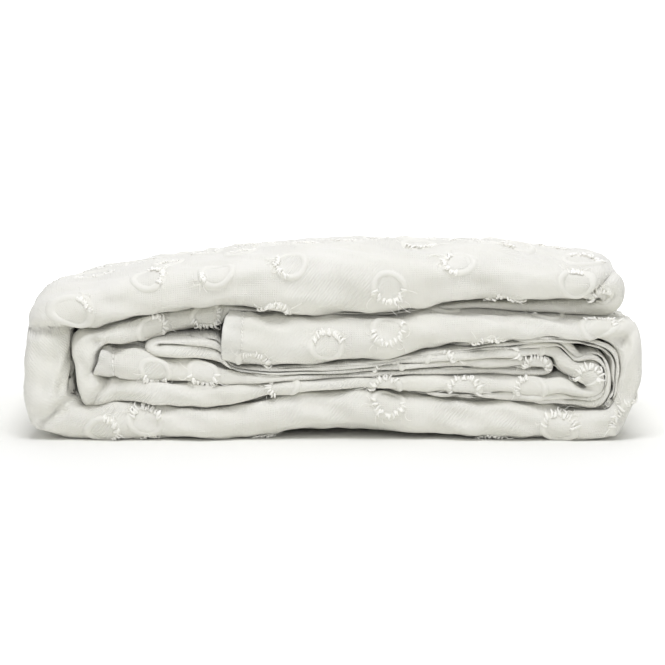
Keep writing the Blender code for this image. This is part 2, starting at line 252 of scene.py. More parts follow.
# Rings that show on the front folds, for each part of the strip. Each ring has its centre across and up the
# front view, how far over the strip's left-hand edge it lies beyond that, its size, the middle of its clipped
# arc and how much of the ring is clipped, both in degrees in the front view, and how long the cut threads are
FRONT_RINGS = {
    "bottom_turn": ((-168, 85, 0, 1.2, 60, 60, 2.5),),
    "flap": (
        (-119, 107, 0, 1, 20, 150, 3.5), (-76, 110, 0, 1.05, 200, 40, 2.5),
        (-28, 115, 0, 1, 200, 120, 3), (-38, 85, 0, 0.95, 100, 170, 4.5),
        (36, 100, 0, 1, -90, 170, 4), (82, 116, 2, 1, 190, 150, 3.5),
        (57, 119, 30, 1, -90, 160, 3.5), (112, 90, 0, 1, 90, 190, 5),
        (122, 119, 22, 1, 200, 120, 3.5), (158, 103, 0, 1.05, 95, 60, 2.5),
        (163, 114, 12, 1, 60, 150, 4),
    ),
    "flap_turn": ((176, 92, 0, 0.95, 120, 160, 4),),
    "second": (
        (36, 73, 0, 1.05, -90, 200, 4), (73, 89, 0, 1, 90, 180, 5),
        (101, 61, 0, 1, 95, 190, 4.5), (141, 86, 0, 0.95, 120, 150, 4),
        (-51, 52, 0, 0.9, 40, 200, 4), (-4, 62, 0, 1, 90, 160, 4),
    ),
    "second_turn": (
        (172, 76, 0, 0.95, 60, 140, 4), (192, 14, 0, 1, 120, 200, 5),
    ),
    "bottom": (
        (36, 25, 0, 1, -95, 190, 3.5), (85, 30, 0, 1, 90, 120, 2.5),
        (104, 1, 0, 1, 90, 160, 5), (148, 8, 0, 1.05, 85, 190, 6),
        (-123, 13, 0, 1, 90, 150, 5), (-121, 4, 14, 1, 30, 200, 5),
        (-47, 0, 8, 1, 90, 160, 5), (-165, 6, 0, 0.95, 20, 140, 4),
    ),
    "under": (
        (-83, 81, 0, 0.95, -80, 190, 4), (-118, 72, 0, 0.9, 30, 120, 3.5),
    ),
    "third": (
        (85, 33, 0, 1, 85, 200, 4), (129, 33, 0, 0.95, 170, 130, 4),
        (34, 29, 0, 0.95, 120, 150, 4), (-33, 36, 0, 0.95, 150, 150, 5),
        (-84, 36, 0, 0.95, 90, 170, 4),
    ),
    "third_turn": ((167, 42, 0, 0.8, 80, 200, 4.5),),
    "tuck_upper": (
        (128, 59, 0, 0.9, 140, 170, 4), (70, 50, 0, 0.9, 60, 120, 3),
    ),
    "tuck_lower": (
        (134, 46, 0, 0.8, 80, 240, 4.5), (36, 45, 0, 0.9, 100, 160, 3.5),
    ),
    "core": (
        (-116, 45, 0, 0.9, -90, 130, 4.5), (-85, 45, 0, 0.95, -90, 170, 4.5),
    ),
}

# How finely the plies are divided, as shares of the depth from the front fold: those inside the strip, the
# one that faces out, and those beside a front fold
HIDDEN_PLY = (0.06, 0.35, 0.75)
SHOWN_PLY = tuple((np.linspace(0, 1, 40)[1:-1] ** 1.3).round(5))
NEAR_PLY = (0.02, 0.05, 0.1, 0.25, 0.6)


def swell(points, size, seed, count=9):
    """Soft unevenness of about -1 to 1: sine waves in as many directions as count, each about size long."""
    rng = np.random.default_rng(seed)
    points = np.asarray(points, float)
    if points.ndim == 1:
        points = points[:, None]
    way = rng.normal(size=(points.shape[-1], count))
    way /= np.linalg.norm(way, axis=0)
    rate = 2 * np.pi / (size * rng.uniform(0.7, 1.5, count))
    phase = rng.uniform(0, 2 * np.pi, count)
    return np.sin(points @ (way * rate) + phase).sum(-1) / math.sqrt(count * 2)


def unit(steps):
    """The same directions with a length of 1."""
    return steps / np.maximum(np.linalg.norm(steps, axis=-1, keepdims=True), 1e-9)


def soft_curve(at, stations, heights):
    """Heights between the stations: cubics whose slopes are the harmonic mean of the steps on each side."""
    step = np.diff(stations)
    rise = np.diff(heights) / step
    same_way = rise[:-1] * rise[1:] > 0
    total = np.where(same_way, rise[:-1] + rise[1:], 1.0)
    slope = np.zeros(len(stations))
    slope[1:-1] = np.where(same_way, 2 * rise[:-1] * rise[1:] / total, 0.0)
    k = np.clip(np.searchsorted(stations, at, side="right") - 1, 0, len(step) - 1)
    t = (at - stations[k]) / step[k]
    ease = t * t * (3 - 2 * t)
    bows = t * (1 - t) ** 2 * step[k] * slope[k] - t * t * (1 - t) * step[k] * slope[k + 1]
    return heights[k] * (1 - ease) + heights[k + 1] * ease + bows


def layer_sides(under, over, start, end):
    """A layer's left-hand and right-hand edges: the curves through its two seams, half a gap inside them."""
    count = int(abs(end - start) / 3) + 1
    across = np.linspace(start, end, count)
    low, high = (soft_curve(across, SEAMS[:, 0], SEAMS[:, SEAM_NAMES.index(n)]) for n in (under, over))
    low = low + LAYER_GAP / 2 * (under != "floor")
    high = high - LAYER_GAP / 2 * (over not in ("flap_top", "under_top"))
    lower, upper = np.column_stack((across, low)), np.column_stack((across, high))
    return (upper, lower) if start < end else (lower, upper)


def turn_side(first, last, reach, power, count):
    """Half a superellipse from the first point to the last, reaching sideways past them."""
    middle, half = (first + last) / 2, (first - last) / 2
    angle = np.linspace(0, np.pi, count + 2)[1:-1]
    along = np.sign(np.cos(angle)) * np.abs(np.cos(angle)) ** (2 / power)
    return middle + np.outer(along, half) + np.outer(np.sin(angle) ** (2 / power) * reach, (1, 0))


def turn_sides(name, before, after, heading):
    """Both edges of a turn. The edge with the longer way round takes the outer reach."""
    if name in CREASED_TURNS:
        turn = CREASED_TURNS[name]
        at, fine = np.arange(len(turn)), np.linspace(0, len(turn) - 1, CREASED_POINTS)
        return [np.column_stack([np.interp(fine, at, turn[:, k]) for k in edge]) for edge in ((0, 1), (2, 3))]
    outer_reach, inner_reach, outer_power, inner_power = TURNS[name]
    spans = [abs(b[1] - a[1]) for a, b in zip(before, after)]
    sides = []
    for side in (0, 1):
        outer = spans[side] == max(spans)
        reach, power = (outer_reach, outer_power) if outer else (inner_reach, inner_power)
        sides.append(turn_side(before[side], after[side], heading * reach, power, ROUND_POINTS))
    return sides


def softened(values, spread):
    """The values with a bell-shaped average over their neighbours, mirrored through each end."""
    reach = int(4 * spread)
    bell = np.exp(-0.5 * (np.arange(-reach, reach + 1) / spread) ** 2)
    head = 2 * values[0] - values[reach:0:-1]
    tail = 2 * values[-1] - values[-2 : -reach - 2 : -1]
    return np.convolve(np.concatenate((head, values, tail)), bell / bell.sum(), mode="valid")


def strip_route():
    """The strip's edges, setback and lip at every millimetre along it, and each part's start and end."""
    rows, parts = [], []
    sides = [layer_sides(*layer[1:5]) for layer in LAYERS]
    sides[0][1][0, 0] -= HEM_SLANT
    sides[-1][0][-1, 0] -= CORE_SLANT

    def add(name, left, right, back, lip, late=1):
        n = len(left)
        backs = back[0] + (back[1] - back[0]) * np.linspace(0, 1, n) ** late
        lips = lip[0] + (lip[1] - lip[0]) * np.linspace(0, 1, n) ** LIP_EASE
        rows.append(np.column_stack((left, right, backs, lips)))
        parts.append((name, n))

    for i, (name, _, _, start, end, back0, back1, late, lip0, lip1) in enumerate(LAYERS):
        add(name, *sides[i], (back0, back1), (lip0, lip1), late)
        if i + 1 < len(LAYERS):
            before = (sides[i][0][-1], sides[i][1][-1])
            after = (sides[i + 1][0][0], sides[i + 1][1][0])
            turn = turn_sides(name, before, after, np.sign(end - start))
            add(name + "_turn", *turn, (back1, LAYERS[i + 1][5]), (lip1, LAYERS[i + 1][8]))
    rows = np.concatenate(rows)
    middle = (rows[:, :2] + rows[:, 2:4]) / 2
    along = np.concatenate(([0], np.cumsum(np.linalg.norm(np.diff(middle, axis=0), axis=1))))
    ends = np.cumsum([0] + [n for _, n in parts])
    spans = {name: (along[a], along[b - 1]) for (name, _), a, b in zip(parts, ends[:-1], ends[1:])}
    every = np.arange(0, along[-1], 1.0)
    even = np.column_stack([softened(np.interp(every, along, rows[:, k]), SOFTNESS) for k in range(6)])
    waves = sum(h * (1 - np.cos(2 * np.pi * every / length)) for length, h in FRONT_WAVES)
    return {
        "along": every,
        "left": even[:, :2],
        "right": even[:, 2:4],
        "setback": even[:, 4] + waves,
        "lip": even[:, 5],
        "spans": spans,
    }


def row_places(route):
    """Places of the grid's rows along the strip: close together where it turns, and at the hems. Between them
    they are where the running total of length and turning passes a whole number."""
    rung = route["left"] - route["right"]
    angle = np.unwrap(np.arctan2(rung[:, 1], rung[:, 0]))
    turning = np.abs(softened(np.gradient(angle), SOFTNESS))
    count = np.cumsum(1 / ROW_SPACING + turning / ROW_TURN)
    inner = np.interp(np.arange(6, count[-1] - 6), count, route["along"])
    last, free = route["along"][-1], HEM_ROWS[-1] + 3
    inner = inner[(inner > free) & (inner < last - free)]
    return np.concatenate((HEM_ROWS, inner, last - HEM_ROWS[::-1]))


def along_rows(route, places):
    """The route's values at the rows: straight lines between its points."""
    out = {"along": places}
    for key in ("left", "right"):
        out[key] = np.column_stack([np.interp(places, route["along"], edge) for edge in route[key].T])
    for key in ("setback", "lip"):
        out[key] = np.interp(places, route["along"], route[key])
    return out


def ply(front, back, depth_front, depth_back, stops):
    """One ply: straight back from one fold to the next, easing from its front share to its back share."""
    t = np.asarray(stops)[None]
    share = front[:, None] + (back - front)[:, None] * t * t * (3 - 2 * t)
    return share, depth_front[:, None] + (depth_back - depth_front)[:, None] * t


def fold(upper, lower, edge, reach, count, square=2.0, rising=False):
    """A fold: half a superellipse from one share of the thickness to another, reaching out of its edge."""
    angle = np.radians(np.linspace(90, -90, count))[None]
    if rising:
        angle = -angle
    out = np.cos(angle) ** (2 / square)
    side = np.sign(angle) * np.abs(np.sin(angle)) ** (2 / square)
    middle, half = (upper + lower)[:, None] / 2, (upper - lower)[:, None] / 2
    return middle + half * side, edge[:, None] - reach[:, None] * out


def section(rows):
    """The zigzag of the eight plies at every row: shares of the thickness, depths behind the front, and which
    columns belong to which fold. The main fold holds four plies, and two thin lips hold two each."""
    along, lip = rows["along"], rows["lip"]
    half = np.linalg.norm(rows["left"] - rows["right"], axis=1) / 2
    lip = np.clip(lip + 0.1 * swell(along, 60, 11), *LIP_RANGE)
    gap = np.minimum(PLY_GAP / half, PLY_GAP_SHARE)
    one = np.ones_like(lip)
    middle_lip = (lip - 1) / 2
    front = (
        one, 1 - INNER_PLY * (1 - lip), lip + INNER_PLY * (1 - lip), lip + gap,
        lip - gap, middle_lip + gap, middle_lip - gap, -one,
    )
    back = [share * one for share in BACK_SHARES]
    nose = np.minimum(half * (1 - lip) / 2 * NOSE_ROUND, NOSE_MOST) * (1 + 0.1 * swell(along, 55, 12))
    lip_reach = half * (1 + lip) / 4 * NOSE_ROUND
    thin = THIN_LIP_IN * np.clip((THIN_LIP - lip) / THIN_LIP_EASE, 0, 1)
    lip_b = half * LIP_SETBACK * (0.8 + 0.3 * swell(along, 45, 13)) + lip_reach + thin
    lip_a = half * LIP_SETBACK * (1.2 + 0.3 * swell(along, 50, 14)) + lip_reach + thin
    inner = nose + INNER_FOLD_IN
    ends = [
        STRIP_DEPTH - BACK_FOLD_IN - wander * (1 + swell(along, 70, 15 + k))
        for k, wander in enumerate(BACK_FOLD_WANDER)
    ]
    back_reach = [BACK_ROUND * half * share for share in BACK_FOLD_SHARES]
    folds_at = [end - reach for end, reach in zip(ends, back_reach)]
    edges = [
        STRIP_DEPTH - inset + EDGE_WANDER * swell(along, size, seed)
        for inset, size, seed in zip(EDGE_IN, (90, 80), (18, 19))
    ]
    hidden, shown, near = HIDDEN_PLY, SHOWN_PLY, NEAR_PLY
    pieces = (
        ("ply_3", ply(front[2], back[2], inner, edges[0], (1.0,) + hidden[::-1])),
        ("inner", fold(front[1], front[2], inner, half * 0.1, 5, rising=True)),
        ("ply_2", ply(front[1], back[1], inner, folds_at[0], hidden)),
        ("back_a", fold(back[0], back[1], folds_at[0], -back_reach[0], 8, rising=True)),
        ("ply_1", ply(front[0], back[0], nose, folds_at[0], shown[::-1])),
        ("main", fold(front[0], front[3], nose, nose, 17, NOSE_SQUARE)),
        ("ply_4", ply(front[3], back[3], nose, folds_at[1], near)),
        ("back_b", fold(back[3], back[4], folds_at[1], -back_reach[1], 8)),
        ("ply_5", ply(front[4], back[4], lip_b, folds_at[1], near[:3][::-1])),
        ("lip_b", fold(front[4], front[5], lip_b, lip_reach, 7)),
        ("ply_6", ply(front[5], back[5], lip_b, folds_at[2], hidden)),
        ("back_c", fold(back[5], back[6], folds_at[2], -back_reach[2], 8)),
        ("ply_7", ply(front[6], back[6], lip_a, folds_at[2], hidden[::-1])),
        ("lip_a", fold(front[6], front[7], lip_a, lip_reach, 7)),
        ("ply_8", ply(front[7], back[7], lip_a, edges[1], hidden + (1.0,))),
    )
    share = np.hstack([piece[0] for _, piece in pieces])
    depth = np.hstack([piece[1] for _, piece in pieces])
    stops = np.cumsum([0] + [piece[0].shape[1] for _, piece in pieces])
    columns = {name: slice(a, b) for (name, _), a, b in zip(pieces, stops[:-1], stops[1:])}
    return share, depth, columns, half


def settled(points, middle):
    """The packet's sag and swell: the depth narrows at the waist, and heights grow behind the front folds,
    less so on the shelf that stands out past the flap at the right-hand end."""
    across, depth, height = np.moveaxis(points, -1, 0)
    pinch = WAIST_PINCH / middle * np.exp(-((across / WAIST_WIDTH) ** 2))
    behind = np.maximum(depth - CROWN_FROM, 0) / (CROWN_AT - CROWN_FROM)
    shelf = 1 / (1 + np.exp((SHELF_FROM - across) / SHELF_EASE))
    shelf = shelf / (1 + np.exp((height - SHELF_TOP) / SHELF_TOP_EASE))
    crown = (behind * np.exp(1 - behind)) ** 2 * (1 - shelf) - BACK_DROP * (depth / STRIP_DEPTH) ** 2
    return np.stack((across, (depth - middle) * (1 - pinch), height * (1 + CROWN * crown)), axis=-1)


def troughs(points, behind, along, spans):
    """How far back each point is pressed by the creases: a bell across each line, dying away with depth."""
    pressed = np.zeros(points.shape[:2])
    for x0, z0, x1, z1, deep, wide, *parts in TROUGHS:
        rows = (along >= spans[parts[0]][0]) & (along <= spans[parts[-1]][1])
        here = points[rows][:, :, (0, 2)]
        start, way = np.array((x0, z0)), np.array((x1 - x0, z1 - z0), float)
        t = ((here - start) @ way / (way @ way)).clip(0, 1)
        off = np.linalg.norm(here - start - t[..., None] * way, axis=-1)
        fading = np.exp(-np.maximum(behind[rows], 0) / TROUGH_REACH)
        pressed[rows] += deep * np.exp(-((off / wide) ** 2)) * fading
    return pressed


def hem_flare(along, depth):
    """How far the first hem's front corner stands out past the hem behind it: it dies away with the distance
    from the edge and with the depth behind the front fold."""
    from_edge = np.clip(1 - along / HEM_FLARE_ALONG, 0, 1)[:, None] ** 1.5
    return HEM_FLARE * from_edge * np.exp(-((np.maximum(depth, 0) / HEM_FLARE_DEEP) ** 2))


def directions(points):
    """Steps along the strip and the face's normal of length 1, from neighbouring points."""
    forward = np.gradient(points, axis=0)
    around = np.gradient(points, axis=1)
    return forward, unit(np.cross(around, forward))


def wrinkles(along, around, half):
    """Small softness of the cloth: sizes of swell, gentler where the strip is thin. Along the hems' stitches
    the cloth is pressed in by a bell and gathered by a sine wave that drifts."""
    flat = np.stack(np.broadcast_arrays(along[:, None], around), axis=-1)
    room = np.clip(half / FULL_WRINKLE, LEAST_WRINKLE, 1)[:, None]
    soft = sum(height * swell(flat * stretch, size, seed) for size, stretch, height, seed in WRINKLES)
    from_hem = np.minimum(along, along[-1] - along)[:, None]
    stitched = STITCH_PULL * np.exp(-(((from_hem - STITCH_AT) / STITCH_PULL_WIDTH) ** 2))
    gathers = np.sin(around * 2 * np.pi / GATHER_PITCH + 2 * swell(flat, 40, 34))
    gathers = gathers * np.exp(-(((from_hem - 10) / GATHER_WIDTH) ** 2))
    return room * (soft + GATHER_HEIGHT * gathers) - stitched


def arc_lengths(points, columns):
    """Distance round the section from the main fold's front line, row by row: lengths of the steps summed."""
    step = np.linalg.norm(np.diff(points, axis=1), axis=-1)
    arc = np.concatenate((np.zeros((len(points), 1)), np.cumsum(step, axis=1)), axis=1)
    front = (columns["main"].start + columns["main"].stop) // 2
    return arc - arc[:, front : front + 1]


def folded_cloth():
    """The whole cloth as a grid: points, distances along and round, directions and columns."""
    route = strip_route()
    rows = along_rows(route, row_places(route))
    along, spans = rows["along"], route["spans"]
    share, depth, columns, half = section(rows)
    middle = ((rows["left"] + rows["right"]) / 2)[:, None]
    offset = ((rows["left"] - rows["right"]) / 2)[:, None]
    seen = middle + share[..., None] * offset
    points = np.stack((seen[..., 0], rows["setback"][:, None] + depth, seen[..., 1]), axis=-1)
    middle_depth = (STRIP_DEPTH + route["setback"].min() + route["setback"].max()) / 2
    points = settled(points, middle_depth)
    points[..., 1] += troughs(points, depth, along, spans)
    points[..., 0] -= hem_flare(along, depth)
    drift = np.stack([swell(points, DRIFT_SIZE, 21 + k) for k in range(3)], axis=-1) * DRIFT
    drift[..., 2] *= np.clip(points[..., 2] / DRIFT_FREE, 0, 1)
    points = points + drift
    arc = arc_lengths(points, columns)
    normal = directions(points)[1]
    points = points + normal * wrinkles(along, arc, half)[..., None]
    points[..., 2] = np.maximum(points[..., 2], FLOOR_CLEARANCE)
    forward, normal = directions(points)
    return {
        "along": along, "arc": arc_lengths(points, columns), "points": points, "normal": normal,
        "forward": forward, "columns": columns, "spans": spans, "route": route,
    }


def mesh_object(name, points, faces, material, smooth=True):
    """An object from points in metres and lists of point numbers."""
    mesh = bpy.data.meshes.new(name)
    mesh.from_pydata(points.reshape(-1, 3).tolist(), [], faces)
    mesh.update()
    if smooth:
        mesh.shade_smooth()
    mesh.materials.append(material)
    new = bpy.data.objects.new(name, mesh)
    bpy.context.scene.collection.objects.link(new)
    return new


def mesh_piece(name, points, faces, material, smooth=True):
    """A piece of the bedspread, from points in millimetres."""
    piece = mesh_object(name, points * MM, faces, material, smooth)
    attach(piece, "root")
    return piece


def grid_faces(rows, columns, closed=False):
    """Four-cornered faces of a grid, wound so that they face out. A closed grid joins its last column to its
    first one."""
    number = np.arange(rows * columns).reshape(rows, columns)
    if closed:
        number = np.hstack((number, number[:, :1]))
    a, b, c, d = number[:-1, :-1], number[:-1, 1:], number[1:, 1:], number[1:, :-1]
    return np.stack((a, b, c, d), axis=-1).reshape(-1, 4)


def cloth_sheet(cloth, material):
    """The sheet: the grid with each hem turned under, and its cloth coordinates as a map from 0 to 1."""
    turned = len(HEM_TURNED_IN)
    points, normal, arc, along = (cloth[key] for key in ("points", "normal", "arc", "along"))
    depth = np.array(HEM_TURNED_IN)[:, None, None]
    head = (points[1 : turned + 1] - normal[1 : turned + 1] * depth)[::-1]
    tail = points[-2 : -turned - 2 : -1] - normal[-2 : -turned - 2 : -1] * depth
    every = np.concatenate((head, points, tail))
    s = np.concatenate((-along[turned:0:-1], along, 2 * along[-1] - along[-2 : -turned - 2 : -1]))
    u = np.concatenate((arc[turned:0:-1], arc, arc[-2 : -turned - 2 : -1]))
    faces = grid_faces(*every.shape[:2])
    piece = mesh_piece("folded_cloth", every, faces.tolist(), material)
    s = np.broadcast_to(s[:, None], u.shape)
    maps = np.stack(((u + MAIN_FOLD) / CLOTH_WIDTH, s / CLOTH_LENGTH), axis=-1)
    layer = piece.data.uv_layers.new(name="cloth")
    layer.data.foreach_set("uv", maps.reshape(-1, 2)[faces.reshape(-1)].astype(np.float32).reshape(-1))
    return piece


def on_cloth(cloth, along, around):
    """Places, normals and forward directions on the cloth: blends of the grid's four nearest points. Each
    row's distances round are set far apart from the next row's, so that one search finds them all."""
    rows, arc, apart = cloth["along"], cloth["arc"], 10000.0
    count = arc.shape[1]
    i = np.clip(np.searchsorted(rows, along, side="right") - 1, 0, len(rows) - 2)
    t = np.clip((along - rows[i]) / (rows[i + 1] - rows[i]), 0, 1)
    keys = (arc + np.arange(len(rows))[:, None] * apart).reshape(-1)
    stack = np.concatenate((cloth["points"], cloth["normal"], cloth["forward"]), axis=-1).reshape(-1, 9)
    sides = []
    for row in (i, i + 1):
        at = around + row * apart
        j = np.clip(np.searchsorted(keys, at) - 1, row * count, row * count + count - 2)
        w = np.clip((at - keys[j]) / (keys[j + 1] - keys[j]), 0, 1)
        sides.append(stack[j] * (1 - w[:, None]) + stack[j + 1] * w[:, None])
    mixed = sides[0] * (1 - t[:, None]) + sides[1] * t[:, None]
    place, normal, forward = mixed[:, :3], mixed[:, 3:6], mixed[:, 6:]
    normal = unit(normal)
    forward = forward - (forward * normal).sum(1, keepdims=True) * normal
    return place, normal, unit(forward)


def front_rings(cloth):
    """The rings of the front folds, as rows of values: distances along and round the cloth, size, middle and
    width of the clipped arc in radians, and the threads' length. A ring's row of the grid is the nearest on
    its part of the strip, and its place round is where the front fold is as far from the strip's middle."""
    route, out = cloth["route"], []
    middle = (route["left"] + route["right"]) / 2
    leftward = unit(route["left"] - route["right"])
    columns = slice(cloth["columns"]["ply_1"].stop - 4, cloth["columns"]["ply_4"].start + 2)
    listed = [(part, *ring) for part, rings in FRONT_RINGS.items() for ring in rings]
    for part, x, z, over, size, angle, sweep, length in listed:
        start, end = cloth["spans"][part]
        inside = (route["along"] >= start) & (route["along"] <= end)
        away = (np.array((x, z)) - middle)[inside]
        side = leftward[inside]
        level = np.abs(away[:, 0] * side[:, 1] - away[:, 1] * side[:, 0])
        level = level + 0.05 * np.abs((away * side).sum(1))
        k = np.flatnonzero(inside)[level.argmin()]
        row = np.abs(cloth["along"] - route["along"][k]).argmin()
        offset = (cloth["points"][row, columns][:, (0, 2)] - middle[k]) @ leftward[k]
        target = (np.array((x, z)) - middle[k]) @ leftward[k]
        arc = cloth["arc"][row, columns]
        order = np.argsort(offset)
        around = np.interp(target, offset[order], arc[order]) - over
        heading = math.degrees(math.atan2(-leftward[k][0], leftward[k][1]))
        arc_middle, arc_wide = math.radians(angle - heading), math.radians(sweep)
        out.append((route["along"][k], around, size, arc_middle, arc_wide, length))
    return np.array(out)


def scattered_rings(cloth, taken):
    """The woven pattern elsewhere, as rows of the same values: rings in half-drop rows, where the cloth shows
    from the side, top, bottom or back and no front ring is near."""
    rng = np.random.default_rng(5)
    rings = []
    end = cloth["along"][-1] - RING_FROM_HEM
    for name in ("ply_1", "back_a", "back_b", "back_c"):
        columns = cloth["columns"][name]
        low, high = cloth["arc"][:, columns.start].mean(), cloth["arc"][:, columns.stop - 1].mean()
        # The front fold has its own rings
        if name == "ply_1":
            low, high = low + 6, high - 16
        else:
            low, high = (low + high) / 2 - 7, (low + high) / 2 + 7
        for row in range(math.ceil(low / RING_ACROSS), math.floor(high / RING_ACROSS) + 1):
            along = np.arange(RING_FROM_HEM + RING_ALONG / 2 * (row % 2), end, RING_ALONG)
            rings.append(np.column_stack((along, np.full_like(along, row * RING_ACROSS))))
    rings = np.concatenate(rings)
    rings += rng.uniform(-RING_SHIFT, RING_SHIFT, rings.shape)
    # Only the outermost way round shows, and at the back every layer's folds do
    spans = cloth["spans"]
    outside = (rings[:, 0] > spans["second_turn"][0] - 20) & (rings[:, 0] < spans["flap_turn"][1])
    at_back = rings[:, 1] > 100
    lowest = cloth["arc"][:, cloth["columns"]["back_a"].start].mean()
    at_back |= rings[:, 1] < lowest + 40
    rings = rings[outside | at_back]
    far = np.abs(rings[:, None] - taken[None, :, :2]) / RING_FREE
    rings = rings[((far**2).sum(-1) > 1).all(1)]
    n = len(rings)
    way = np.where(rng.random(n) < 0.5, 90, -90) + rng.uniform(-25, 25, n)
    return np.column_stack((
        rings,
        rng.uniform(0.93, 1.06, n),
        np.radians(way),
        np.radians(rng.uniform(140, 210, n)),
        rng.uniform(3.2, 4.6, n),
    ))


def round_rings(cloth, rings, radius, angle):
    """The cloth round the rings' centres: a radius away, at an angle from the strip's direction."""
    each = (-1,) + (1,) * (angle.ndim - 1)
    along = rings[:, 0].reshape(each) + radius * np.cos(angle)
    around = rings[:, 1].reshape(each) - radius * np.sin(angle)
    return on_cloth(cloth, along.reshape(-1), around.reshape(-1))


def ring_bands(name, cloth, rings, steps, across, material, seed):
    """Raised bands of the rings: round each centre, a strip from the inner to the outer radius that follows
    the cloth and stands off it by half a sine, a little higher on the arc that isn't clipped. A slow sine
    keeps the rings from being quite round."""
    rng = np.random.default_rng(seed)
    angle = np.linspace(0, 2 * np.pi, steps, endpoint=False)[None, :, None]
    t = np.linspace(0, 1, across)[None, None]
    size = rings[:, 2][:, None, None]
    wobble = 1 + 0.03 * np.sin(3 * angle + rng.uniform(0, 6, (len(rings), 1, 1)))
    radius = (RING_INNER + (RING_OUTER - RING_INNER) * t) * size * wobble
    place, normal, _ = round_rings(cloth, rings, radius, angle)
    turn = np.angle(np.exp(1j * (angle - rings[:, 3][:, None, None])))
    clipped = 1 / (1 + np.exp((np.abs(turn) - rings[:, 4][:, None, None] / 2) / 0.12))
    high = (BAND_HEIGHT - BAND_CLIPPED * clipped) * np.sin(np.pi * t) ** 0.7 - BAND_SUNK
    high = np.broadcast_to(high, radius.shape)
    points = place + normal * high.reshape(-1, 1)
    faces = grid_faces(steps, across)
    loop = np.arange(steps * across).reshape(steps, across)
    seam = np.stack((loop[-1, :-1], loop[-1, 1:], loop[0, 1:], loop[0, :-1]), axis=-1)
    faces = np.concatenate((faces, seam))
    start = (np.arange(len(rings)) * steps * across)[:, None, None]
    points[:, 2] = np.maximum(points[:, 2], THREAD_CLEARANCE)
    return mesh_piece(name, points, (faces[None] + start).reshape(-1, 4).tolist(), material)


def thread_tubes(name, place, normal, forward, lines, radius, sides, tip, material):
    """Bent threads as tubes. lines gives each thread's points in its own frame: forward, leftward and out of
    the cloth. Each tube narrows to its cut end, is closed at both ends, and stays above the floor."""
    left = np.cross(normal, forward)
    axes = np.stack((forward, left, normal), axis=1)
    path = place[:, None] + np.einsum("npk,nkx->npx", lines, axes)
    step = unit(np.gradient(path, axis=1))
    side = unit(np.cross(step, normal[:, None] + 0.3 * left[:, None]))
    up = np.cross(side, step)
    turn = np.linspace(0, 2 * np.pi, sides, endpoint=False) + np.pi / 2
    count, stops = lines.shape[:2]
    thick = radius[:, None] * (1 - (1 - tip) * np.linspace(0, 1, stops) ** 2)
    ring = side[:, :, None] * np.cos(turn)[:, None] + up[:, :, None] * np.sin(turn)[:, None]
    points = path[:, :, None] + ring * thick[..., None, None]
    points[..., 2] = np.maximum(points[..., 2], THREAD_CLEARANCE)
    faces = grid_faces(stops, sides, closed=True)
    first, last = np.arange(sides), np.arange(sides) + sides * (stops - 1)
    start = (np.arange(count) * stops * sides)[:, None, None]
    tubes = (faces[None] + start).reshape(-1, 4)
    ends = (np.stack((first[::-1], last))[None] + start).reshape(-1, sides)
    return mesh_piece(name, points, [*tubes.tolist(), *ends.tolist()], material, smooth=sides > 3)


def clipped_threads(name, cloth, rings, per_ring, stops, sides, rise, material, seed):
    """Cut tufts on each ring's clipped arc. A tuft is rooted inside the band and crosses it, leaning between
    straight outwards and square to the strip, as the floats ran before they were cut. It rises in half a sine
    and curls a little sideways."""
    rng = np.random.default_rng(seed)
    n = len(rings)
    shape = (n, per_ring)
    spot = (np.arange(per_ring) + 0.5) / per_ring - 0.5 + rng.uniform(-0.6, 0.6, shape) / per_ring
    angle = rings[:, 3][:, None] + rings[:, 4][:, None] * spot
    size = rings[:, 2][:, None]
    root = (RING_INNER + rng.uniform(-0.4, 1.4, shape)) * size
    place, normal, forward = round_rings(cloth, rings, root, angle)
    square = rng.uniform(0.35, 0.9, (n, 1)) * np.sign(np.sin(angle)) * np.abs(np.sin(angle)) ** 0.5
    lean = rng.normal(0, 0.32, shape)
    way_x = np.cos(angle + lean) * (1 - np.abs(square))
    way_y = np.sin(angle + lean) * (1 - np.abs(square)) + square
    scale = np.hypot(way_x, way_y)
    way_x, way_y = way_x / scale, way_y / scale
    length = rings[:, 5][:, None] * rng.uniform(0.6, 1.3, shape)
    t = np.linspace(0, 1, stops)
    reach = length[..., None] * t
    high = rise * rng.uniform(0.4, 1.0, shape)[..., None] * np.sin(np.pi * (0.05 + 0.8 * t))
    curl = (rng.normal(0, 0.12, shape) * length)[..., None] * np.sin(np.pi * 1.3 * t * t)
    lines = np.stack((
        way_x[..., None] * reach - way_y[..., None] * curl,
        way_y[..., None] * reach + way_x[..., None] * curl,
        high,
    ), axis=-1).reshape(-1, stops, 3)
    radius = rng.uniform(0.7, 1.05, n * per_ring)
    return thread_tubes(name, place, normal, forward, lines, radius, sides, 0.45, material)


